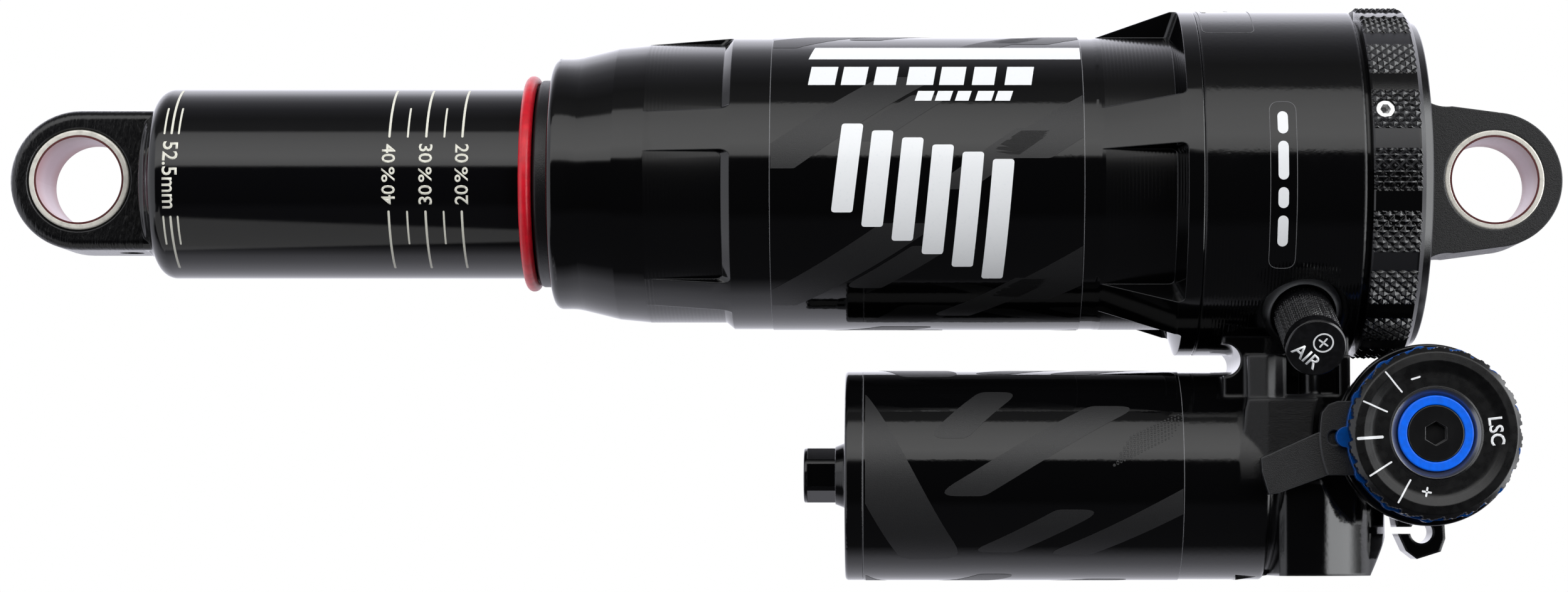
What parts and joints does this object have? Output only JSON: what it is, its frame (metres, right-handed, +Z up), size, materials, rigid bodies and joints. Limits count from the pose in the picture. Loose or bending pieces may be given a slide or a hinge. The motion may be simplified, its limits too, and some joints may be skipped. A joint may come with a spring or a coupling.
{
  "type": "rear shock",
  "caption": "Air-sprung bicycle rear shock: a shaft slides in an air can beside a piggyback reservoir, with an eye at each end, an air valve, a compression lever and damping dials.",
  "frame": {"origin": "centre of the head eye's bore, halfway through its width", "axes": "+X along the shock from the shaft eye to the head eye, +Y along the eye bolts, away from the dials, +Z up, with the reservoir below the can"},
  "size_m": [0.2304, 0.0535, 0.0856],
  "materials": {
    "black_anodised": "gloss black anodised",
    "shaft_black": "gloss black hard coat",
    "grey_anodised": "matte dark grey anodised",
    "collar_black": "knurled black anodised",
    "dial_black": "satin black anodised",
    "dial_blue": "blue anodised",
    "plain_aluminium": "machined",
    "bushing_steel": "turned steel",
    "liner": "dark red bearing liner",
    "polished_rod": "polished",
    "steel": "ground",
    "black_steel": "black oxide",
    "bearing_polymer": "bronze-filled polymer",
    "black_rubber": "matte",
    "red_rubber": "satin red",
    "bumper_polymer": "polyurethane",
    "can_film": "gloss printed film",
    "reservoir_film": "gloss printed film",
    "cap_black": "knurled black anodised",
    "nickel": "nickel plated"
  },
  "bodies": {
    "head": {"head_body": "black_anodised", "head_eyelet": "grey_anodised", "head_eye_bushing": "bushing_steel", "head_eye_liner": "liner", "locking_collar": "collar_black", "collar_set_screw": "steel", "air_can": "black_anodised", "can_decal": "can_film", "wiper_seal": "black_rubber", "can_air_seal": "black_rubber", "can_bushing": "bearing_polymer", "can_oring": "black_rubber", "damper_tube": "plain_aluminium", "damper_seal_head": "plain_aluminium", "rod_bushing": "bearing_polymer", "rod_seal": "black_rubber", "topout_bumper": "bumper_polymer", "reservoir_cap": "black_anodised", "reservoir_cap_oring": "black_rubber", "charge_screw": "steel", "reservoir_decal": "reservoir_film", "valve_stem": "nickel", "valve_core": "nickel", "valve_oring": "black_rubber", "compression_cartridge": "plain_aluminium", "adjuster_base_ring": "black_anodised"},
    "shaft": {"air_shaft": "shaft_black", "shaft_eye_bushing": "bushing_steel", "shaft_eye_liner": "liner", "damper_rod": "polished_rod", "main_piston": "plain_aluminium", "piston_band": "bearing_polymer", "compression_shims": "steel", "topout_washer": "steel", "rebound_shims": "steel", "piston_nut": "steel", "bottomout_bumper": "bumper_polymer", "air_piston": "plain_aluminium", "air_piston_seal": "black_rubber", "air_piston_inner_seal": "black_rubber", "air_piston_glide_ring": "bearing_polymer"},
    "sag_ring_body": {"sag_ring": "red_rubber"},
    "rebound_screw": {"rebound_adjuster": "black_steel"},
    "rebound_needle": {"rebound_rod": "plain_aluminium"},
    "floating_piston": {"ifp_piston": "plain_aluminium", "ifp_seal": "black_rubber"},
    "cap": {"valve_cap": "cap_black"},
    "lever": {"compression_lever": "grey_anodised"},
    "high_speed_dial": {"hsc_dial": "dial_blue"},
    "low_speed_dial": {"lsc_dial": "dial_black", "lsc_ring": "dial_blue", "dial_screw": "black_steel"}
  },
  "joints": [
    {"name": "shaft_slide", "type": "slide", "parent": "head", "child": "shaft", "axis": [1, 0, 0], "range_m": [0, 0.0525], "stiffness_N_per_m": 8000, "springref_m": -0.01},
    {"name": "sag_ring_slide", "type": "slide", "parent": "shaft", "child": "sag_ring_body", "axis": [1, 0, 0], "range_m": [-0.0525, 0]},
    {"name": "floating_piston_slide", "type": "slide", "parent": "head", "child": "floating_piston", "axis": [1, 0, 0], "range_m": [-0.006, 0]},
    {"name": "rebound_screw_turn", "type": "hinge", "parent": "shaft", "child": "rebound_screw", "pos_m": [-0.2031, 0, -0.0101], "axis": [0.5, 0, 0.866], "range_deg": [-185, 185]},
    {"name": "rebound_needle_slide", "type": "slide", "parent": "shaft", "child": "rebound_needle", "axis": [1, 0, 0], "range_m": [-0.0005, 0.0005]},
    {"name": "valve_cap_pull", "type": "slide", "parent": "head", "child": "cap", "axis": [0.05, -0.8841, -0.4645], "range_m": [0, 0.012]},
    {"name": "lever_turn", "type": "hinge", "parent": "head", "child": "lever", "pos_m": [-0.01165, 0, -0.0381], "axis": [0, -1, 0], "range_deg": [0, 75]},
    {"name": "high_speed_turn", "type": "hinge", "parent": "head", "child": "high_speed_dial", "pos_m": [-0.01165, 0, -0.0381], "axis": [0, -1, 0], "range_deg": [-55.4, 55.4]},
    {"name": "low_speed_turn", "type": "hinge", "parent": "head", "child": "low_speed_dial", "pos_m": [-0.01165, 0, -0.0381], "axis": [0, -1, 0], "range_deg": [-55.5, 55.5]}
  ],
  "couplings": [
    {"joint": "sag_ring_slide", "follows": "shaft_slide", "ratio": -1},
    {"joint": "floating_piston_slide", "follows": "shaft_slide", "ratio": -0.10948},
    {"joint": "rebound_screw_turn", "follows": "rebound_needle_slide", "rad_per_m": 6283.2}
  ]
}
